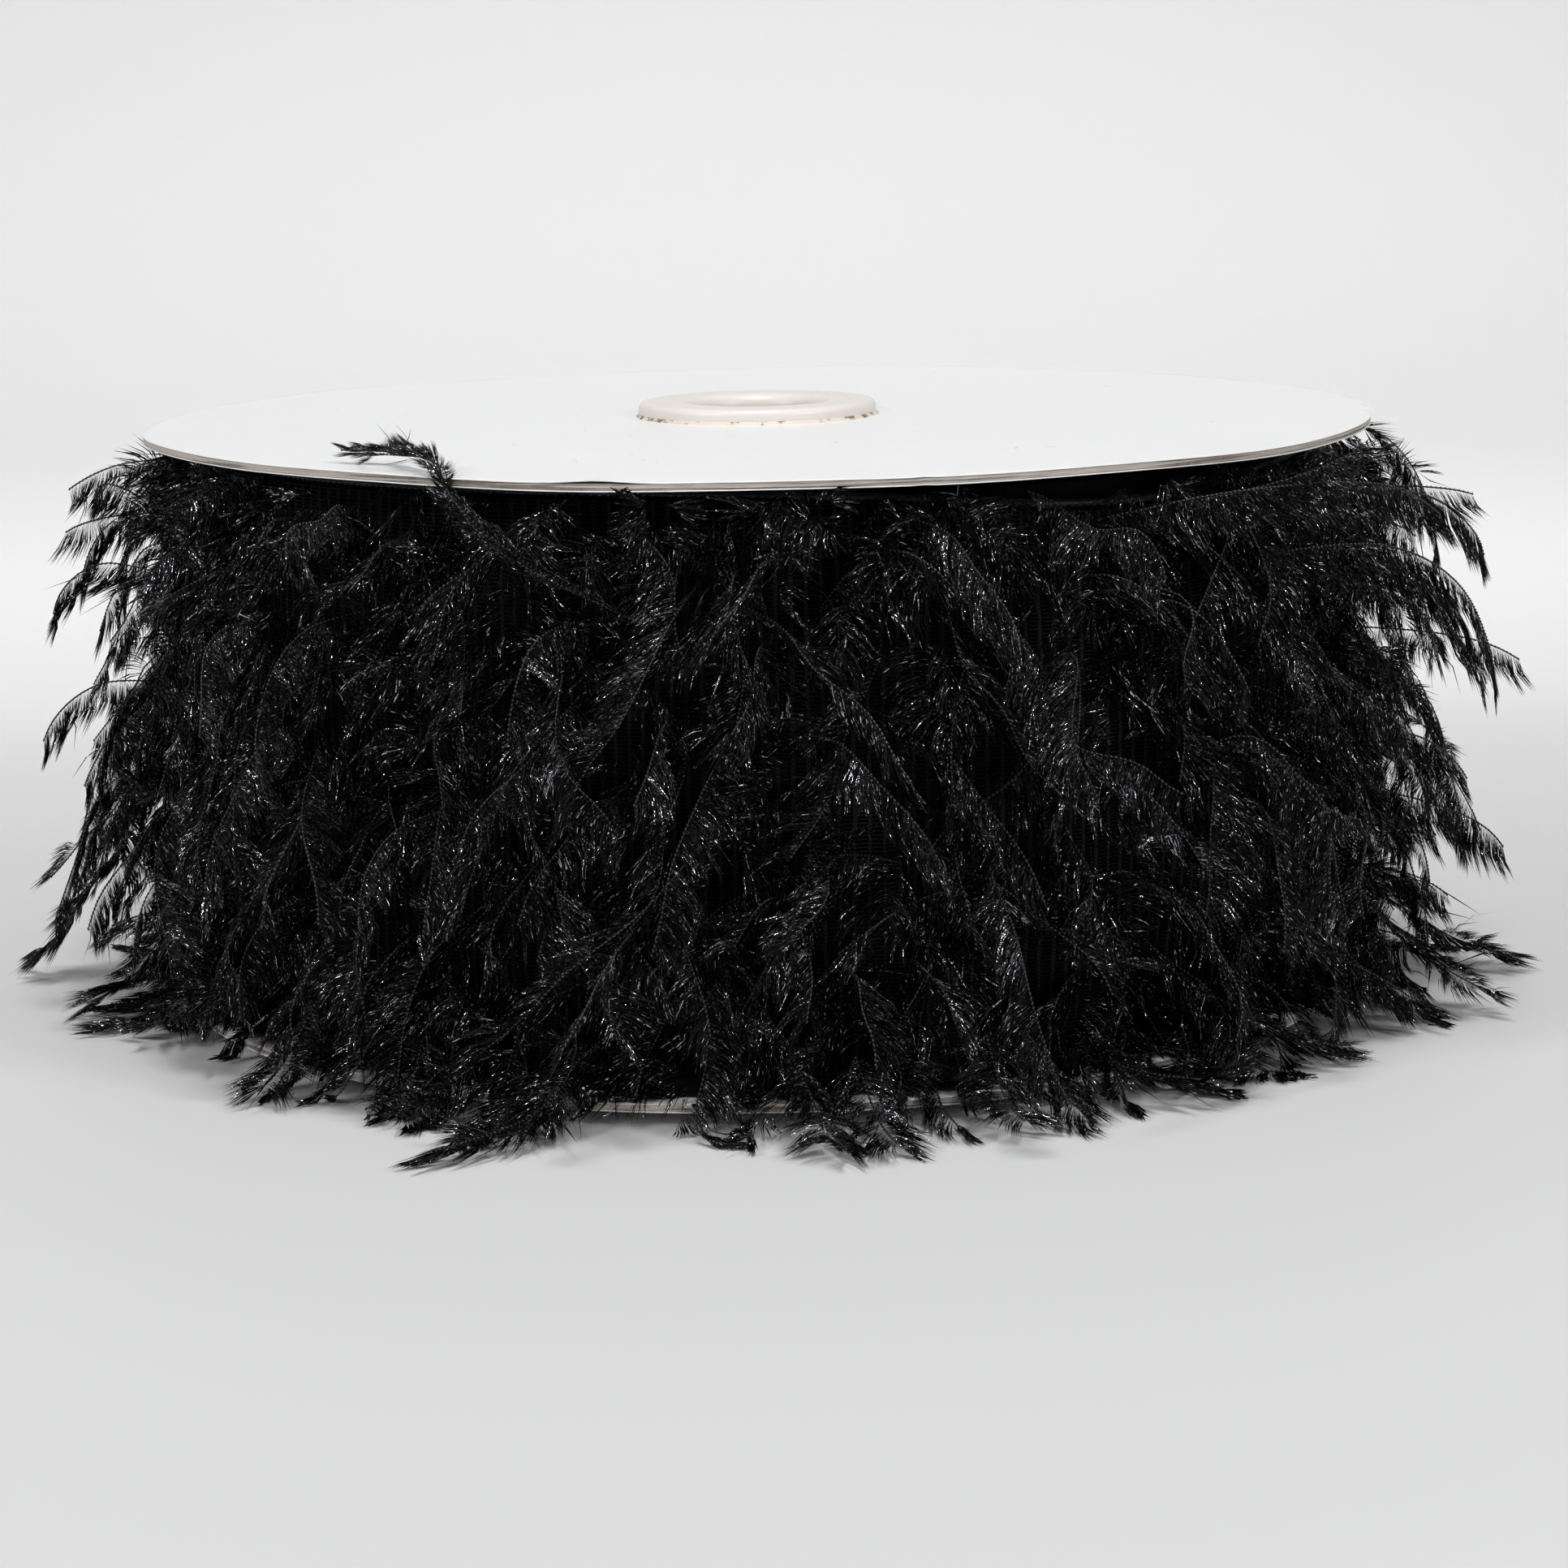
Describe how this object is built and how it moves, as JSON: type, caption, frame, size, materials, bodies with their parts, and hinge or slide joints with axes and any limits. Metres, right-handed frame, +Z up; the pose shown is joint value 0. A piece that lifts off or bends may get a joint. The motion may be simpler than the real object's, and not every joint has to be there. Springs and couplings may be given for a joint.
{
  "type": "feather boa trim spool",
  "caption": "Black feather-yarn boa trim wound on a white card-flanged ribbon spool with moulded hubs and a one inch rod bore, lying on its flange.",
  "frame": {"origin": "on the spool's axis, in the plane of the bottom hub's lip, which is the face that the spool stands on", "axes": "+Z up along the spool's axis towards the top hub; -Y is the side seen in the picture"},
  "size_m": [0.296, 0.296, 0.1112],
  "materials": {
    "coated_white_paper": "smooth satin coated white paper",
    "greyboard": "raw cut edge of grey-brown pulp board",
    "cream_plastic": "translucent cream moulded polyethylene",
    "hot_glue": "dull peach-brown hot glue",
    "tube_board": "spirally wound brown paperboard",
    "clear_tape": "clear sticky tape",
    "black_net": "knitted black polyester net",
    "black_cord": "fuzzy black corded edge",
    "black_plume": "satin black polyester feather yarn with bright glints"
  },
  "bodies": {
    "root": {"bottom_edge_cord": "black_cord", "bottom_flange_board": "greyboard", "bottom_flange_face_paper": "coated_white_paper", "bottom_flange_liner": "coated_white_paper", "bottom_glue_bead": "hot_glue", "bottom_hub": "cream_plastic", "core_tube": "tube_board", "net_tape": "black_net", "over_edge_plume": "black_plume", "plume_row_1": "black_plume", "plume_row_2": "black_plume", "plume_row_3": "black_plume", "plume_row_4": "black_plume", "plume_row_5": "black_plume", "plume_row_6": "black_plume", "start_tape": "clear_tape", "top_edge_cord": "black_cord", "top_flange_board": "greyboard", "top_flange_face_paper": "coated_white_paper", "top_flange_liner": "coated_white_paper", "top_glue_bead": "hot_glue", "top_hub": "cream_plastic", "wound_plumes": "black_plume"}
  },
  "joints": []
}
